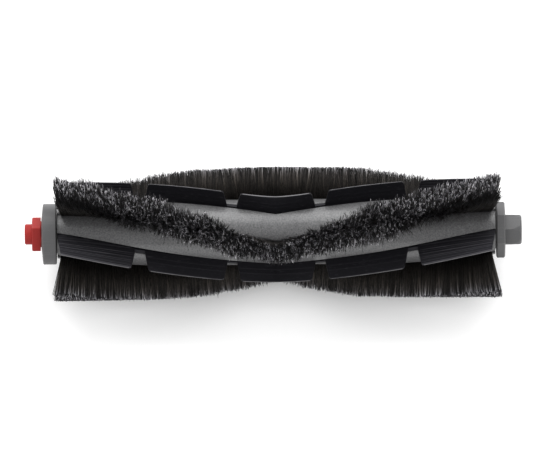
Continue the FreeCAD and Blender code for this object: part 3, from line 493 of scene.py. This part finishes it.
def black_rubber(name):
    material, tree, shader, place = new_finish(name)
    grained = place_group(tree, grain, -600, 100, Fineness=1800.0)
    scuffed = place_group(tree, scuffs, -600, -200)
    join(tree, place, grained.inputs["Place"])
    join(tree, place, scuffed.inputs["Place"])
    tones = add(tree, "ShaderNodeMix", -250, 200, data_type="RGBA")
    tones.inputs["A"].default_value = RUBBER_DARK
    tones.inputs["B"].default_value = RUBBER_LIGHT
    join(tree, grained.outputs["Mottle"], tones.inputs["Factor"])
    bloom = add(tree, "ShaderNodeMix", 0, 200, data_type="RGBA", blend_type="SCREEN")
    bloom.inputs["B"].default_value = RUBBER_BLOOM
    join(tree, scuffed.outputs["Scuff"], bloom.inputs["Factor"])
    join(tree, tones.outputs["Result"], bloom.inputs["A"])
    distance = axis_distance(tree, place, -900, -450)
    # Fine pale lines along the flaps at the two ends, noise over the distance from the axis.
    lines = add(tree, "ShaderNodeTexNoise", -360, -550, noise_dimensions="1D", Detail=2.0)
    lines.inputs["Scale"].default_value = LINES_PER_METRE
    join(tree, distance, lines.inputs["W"])
    line = add(tree, "ShaderNodeMapRange", -180, -550)
    line.inputs["From Min"].default_value = 0.5
    line.inputs["From Max"].default_value = 0.7
    join(tree, lines.outputs["Fac"], line.inputs["Value"])
    apart = add(tree, "ShaderNodeSeparateXYZ", -900, -750)
    join(tree, place, apart.inputs["Vector"])
    offset = add(tree, "ShaderNodeMath", -720, -750, operation="SUBTRACT")
    offset.inputs[1].default_value = MIDDLE
    join(tree, apart.outputs["X"], offset.inputs[0])
    reach = add(tree, "ShaderNodeMath", -540, -750, operation="ABSOLUTE")
    join(tree, offset.outputs["Value"], reach.inputs[0])
    end_flap = add(tree, "ShaderNodeMapRange", -360, -750)
    end_flap.inputs["From Min"].default_value = END_LINES_FROM
    end_flap.inputs["From Max"].default_value = END_LINES_FULL
    join(tree, reach.outputs["Value"], end_flap.inputs["Value"])
    end_lines = add(tree, "ShaderNodeMath", 0, -600, operation="MULTIPLY")
    join(tree, line.outputs["Result"], end_lines.inputs[0])
    join(tree, end_flap.outputs["Result"], end_lines.inputs[1])
    lined = add(tree, "ShaderNodeMix", 125, 400, data_type="RGBA", blend_type="SCREEN")
    lined.inputs["B"].default_value = RUBBER_LINES
    join(tree, end_lines.outputs["Value"], lined.inputs["Factor"])
    join(tree, bloom.outputs["Result"], lined.inputs["A"])
    # Painted highlight: a pale band along the very tip of each blade, found by distance from the axis.
    tip_band = add(tree, "ShaderNodeMapRange", -250, -350)
    tip_band.inputs["From Min"].default_value = TIP_HIGHLIGHT_FROM
    tip_band.inputs["From Max"].default_value = TIP_HIGHLIGHT_FULL
    join(tree, distance, tip_band.inputs["Value"])
    tip_highlight = add(tree, "ShaderNodeMix", 250, 200, data_type="RGBA")
    tip_highlight.inputs["B"].default_value = RUBBER_TIP_HIGHLIGHT
    join(tree, tip_band.outputs["Result"], tip_highlight.inputs["Factor"])
    join(tree, lined.outputs["Result"], tip_highlight.inputs["A"])
    join(tree, tip_highlight.outputs["Result"], shader.inputs["Base Color"])
    gloss = add(tree, "ShaderNodeMapRange", 0, -100)
    gloss.inputs["To Min"].default_value = 0.48
    gloss.inputs["To Max"].default_value = 0.62
    join(tree, grained.outputs["Mottle"], gloss.inputs["Value"])
    join(tree, gloss.outputs["Result"], shader.inputs["Roughness"])
    relief = add(tree, "ShaderNodeBump", 300, -250, Strength=0.4, Distance=RUBBER_GRAIN_DEPTH)
    join(tree, grained.outputs["Height"], relief.inputs["Height"])
    join(tree, relief.outputs["Normal"], shader.inputs["Normal"])
    shader.inputs["Specular IOR Level"].default_value = 0.13
    print("finish:", name)
    return material


rubber = black_rubber("blade_rubber_black")

# %% [markdown]
# The strands are dyed nylon. Most are black, some are brown and a few are nearly cream, which one ramp
# over the tone attribute gives. Towards the tip a second, greyer ramp takes over, which is painted
# light: bright grey glints on the light strands, and darker tips still on the dark ones.


# %% Nylon strands
def tone_ramp(tree, x, y, stops):
    """Colour ramp with its stops given as places and colours."""
    ramp = add(tree, "ShaderNodeValToRGB", x, y)
    elements = ramp.color_ramp.elements
    while len(elements) < len(stops):
        elements.new(0.5)
    for element, (place, colour) in zip(elements, stops):
        element.position = place
        element.color = (*colour, 1.0)
    return ramp


BODY_TONES = (
    (0.0, (0.017, 0.0165, 0.016)),
    (0.4, (0.048, 0.0425, 0.038)),
    (0.7, (0.110, 0.094, 0.080)),
    (1.0, (0.230, 0.200, 0.168)),
)
# Painted glints: towards the tip this ramp turns light strands bright grey and dark ones darker.
TIP_GLINT_TONES = (
    (0.0, (0.003, 0.003, 0.003)),
    (0.4, (0.024, 0.024, 0.027)),
    (0.7, (0.31, 0.305, 0.330)),
    (1.0, (0.90, 0.885, 0.93)),
)


TIP_POWER = 7.0


def nylon(name):
    material, tree, shader, _ = new_finish(name)
    tone = add(tree, "ShaderNodeAttribute", -900, 250, attribute_name="tone")
    along = add(tree, "ShaderNodeAttribute", -900, -50, attribute_name="along")
    body = tone_ramp(tree, -600, 350, BODY_TONES)
    tip = tone_ramp(tree, -600, 100, TIP_GLINT_TONES)
    join(tree, tone.outputs["Fac"], body.inputs["Fac"])
    join(tree, tone.outputs["Fac"], tip.inputs["Fac"])
    late = add(tree, "ShaderNodeMath", -600, -100, operation="POWER")
    late.inputs[1].default_value = TIP_POWER
    join(tree, along.outputs["Fac"], late.inputs[0])
    # Dye along the strand, and painted glints towards its tip.
    dye_and_glints = add(tree, "ShaderNodeMix", -200, 200, data_type="RGBA")
    join(tree, late.outputs["Value"], dye_and_glints.inputs["Factor"])
    join(tree, body.outputs["Color"], dye_and_glints.inputs["A"])
    join(tree, tip.outputs["Color"], dye_and_glints.inputs["B"])
    join(tree, dye_and_glints.outputs["Result"], shader.inputs["Base Color"])
    shader.inputs["Roughness"].default_value = 0.45
    shader.inputs["Specular IOR Level"].default_value = 0.12
    print("finish:", name)
    return material


nylon_black = nylon("nylon_black")

# %% [markdown]
# The axle and the ball bearing sit inside the red block. They are bright turned steel: metallic, with
# fine rings about the axis, made by noise that depends only on the distance from it.


# %% Turned steel
RINGS_PER_METRE = 30000.0


def turned_steel(name):
    material, tree, shader, place = new_finish(name)
    rings = add(tree, "ShaderNodeTexNoise", -160, 0, noise_dimensions="1D", Detail=2.0)
    rings.inputs["Scale"].default_value = RINGS_PER_METRE
    join(tree, axis_distance(tree, place, -700, 0), rings.inputs["W"])
    tones = add(tree, "ShaderNodeMix", 200, 150, data_type="RGBA")
    tones.inputs["A"].default_value = (0.42, 0.42, 0.43, 1.0)
    tones.inputs["B"].default_value = (0.58, 0.58, 0.59, 1.0)
    join(tree, rings.outputs["Fac"], tones.inputs["Factor"])
    join(tree, tones.outputs["Result"], shader.inputs["Base Color"])
    gloss = add(tree, "ShaderNodeMapRange", 200, -150)
    gloss.inputs["To Min"].default_value = 0.22
    gloss.inputs["To Max"].default_value = 0.38
    join(tree, rings.outputs["Fac"], gloss.inputs["Value"])
    join(tree, gloss.outputs["Result"], shader.inputs["Roughness"])
    shader.inputs["Metallic"].default_value = 1.0
    print("finish:", name)
    return material


steel = turned_steel("turned_steel")

# %% Paint every piece
FINISHES = {
    "roller_core": core_grey,
    "bristle_spine": spine_grey,
    "wiper_blade": rubber,
    "bearing_end_cap": cap_grey,
    "drive_end_cap": cap_grey,
    "bearing_block": block_red,
    "axle_pin": steel,
    "bearing_inner_ring": steel,
    "bearing_outer_ring": steel,
    "bearing_balls": steel,
    "bearing_cage": steel,
    "bearing_shield": steel,
}
for name, node in nodes.items():
    for start, finish in FINISHES.items():
        if name.startswith(start):
            node.data.materials.clear()
            node.data.materials.append(finish)
for piece in bristle_rows:
    piece.data.materials.append(nylon_black)
print("painted:", len(nodes) + len(bristle_rows))

# %% [markdown]
# The photograph looks down on the brush from nearly overhead, through a long lens, with the picture
# turned by about half a degree. The camera is set back five metres, and its lens follows from how many
# millimetres of the object one pixel shows.

# %% Camera
PICTURE_WIDTH = 540
MM_PER_PIXEL = 0.5637
CAMERA_DISTANCE = 5.0
ELEVATION = math.radians(75.7)
ROLL = math.radians(0.57)
AIM_RIGHT = -3.15 * MM_PER_PIXEL * MM
AIM_UP = 6.97 * MM_PER_PIXEL * MM

back = Vector((0.0, -math.cos(ELEVATION), math.sin(ELEVATION)))
level_up = Vector((0.0, math.sin(ELEVATION), math.cos(ELEVATION)))
level_right = Vector((1.0, 0.0, 0.0))
right = math.cos(ROLL) * level_right - math.sin(ROLL) * level_up
up = math.cos(ROLL) * level_up + math.sin(ROLL) * level_right
target = Vector((0.0, 0.0, AXIS_HEIGHT)) + AIM_RIGHT * right + AIM_UP * up
camera_data = bpy.data.cameras.new("camera")
camera_data.sensor_width = 36.0
view_width = PICTURE_WIDTH * MM_PER_PIXEL * MM
camera_data.lens = camera_data.sensor_width * CAMERA_DISTANCE / view_width
camera_data.clip_end = 20.0
camera = bpy.data.objects.new("camera", camera_data)
bpy.context.scene.collection.objects.link(camera)
turned = Matrix((right, up, back)).transposed().to_4x4()
camera.matrix_world = Matrix.Translation(target + CAMERA_DISTANCE * back) @ turned
bpy.context.scene.camera = camera
print(f"lens {camera_data.lens:.1f} mm")

# %% [markdown]
# The brush lies on a white sheet. Under plain light a white sheet comes out pale grey, so it adds a
# little light of its own for rays that come straight from the camera or by a mirror. The shadow of the
# brush still darkens it: the rest of its light comes from the lamps and the world, and the light of its
# own fades where the brush hides the sheet's surroundings from it, which ambient occlusion measures.

# %% Floor
FLOOR_HALF = 3.0
PAPER = 0.8
PAPER_LIFT = 0.51
CONTACT_REACH = 0.034
bm = bmesh.new()
bmesh.ops.create_grid(bm, x_segments=1, y_segments=1, size=FLOOR_HALF)
floor_mesh = bpy.data.meshes.new("floor")
bm.to_mesh(floor_mesh)
bm.free()
floor = bpy.data.objects.new("floor", floor_mesh)
bpy.context.scene.collection.objects.link(floor)
white, tree, shader, _ = new_finish("white_sheet")
shader.inputs["Base Color"].default_value = (PAPER, PAPER, PAPER, 1.0)
shader.inputs["Roughness"].default_value = 0.9
shader.inputs["Specular IOR Level"].default_value = 0.0
shader.inputs["Emission Color"].default_value = (1.0, 1.0, 1.0, 1.0)
path = add(tree, "ShaderNodeLightPath", -600, -300)
seen = add(tree, "ShaderNodeMath", -350, -300, operation="ADD")
shown = add(tree, "ShaderNodeMath", -150, -300, operation="ADD", use_clamp=True)
lift = add(tree, "ShaderNodeMath", 50, -300, operation="MULTIPLY")
lift.inputs[1].default_value = PAPER_LIFT
join(tree, path.outputs["Is Camera Ray"], seen.inputs[0])
join(tree, path.outputs["Is Glossy Ray"], seen.inputs[1])
join(tree, seen.outputs["Value"], shown.inputs[0])
join(tree, path.outputs["Is Transmission Ray"], shown.inputs[1])
join(tree, shown.outputs["Value"], lift.inputs[0])
hidden = add(tree, "ShaderNodeAmbientOcclusion", -350, -550, Distance=CONTACT_REACH, samples=4)
contact = add(tree, "ShaderNodeMath", -150, -550, operation="POWER")
contact.inputs[1].default_value = 2.0
faded = add(tree, "ShaderNodeMath", 250, -300, operation="MULTIPLY")
join(tree, hidden.outputs["AO"], contact.inputs[0])
join(tree, lift.outputs["Value"], faded.inputs[0])
join(tree, contact.outputs["Value"], faded.inputs[1])
join(tree, faded.outputs["Value"], shader.inputs["Emission Strength"])
floor_mesh.materials.append(white)
print("floor:", 2 * FLOOR_HALF, "m square")

# %% [markdown]
# The light in the photograph is soft. It comes mostly from the far side, which is the top of the
# picture, with a second soft light from the near side, and little from the camera's own direction.

# %% Lamps
WORLD_STRENGTH = 0.75


def soft_box(name, spot, aim, width, height, watts):
    lamp = bpy.data.lights.new(name, "AREA")
    lamp.shape = "RECTANGLE"
    lamp.size = width
    lamp.size_y = height
    lamp.energy = watts
    holder = bpy.data.objects.new(name, lamp)
    bpy.context.scene.collection.objects.link(holder)
    spot = Vector(spot)
    holder.location = spot
    holder.rotation_euler = (Vector(aim) - spot).to_track_quat("-Z", "Y").to_euler()
    return holder


middle = (0.0, 0.0, AXIS_HEIGHT)
soft_box("far_light", spot=(0.0, 0.96, 0.98), aim=middle, width=1.8, height=0.8, watts=23.0)
soft_box("near_light", spot=(0.0, -1.2, 0.4), aim=middle, width=1.6, height=0.5, watts=4.0)
world = bpy.data.worlds.new("studio")
world.use_nodes = True
sky = world.node_tree.nodes["Background"]
sky.inputs["Color"].default_value = (1.0, 1.0, 1.0, 1.0)
sky.inputs["Strength"].default_value = WORLD_STRENGTH
bpy.context.scene.world = world
bpy.context.scene.view_settings.view_transform = "Standard"
print("lamps: 2")
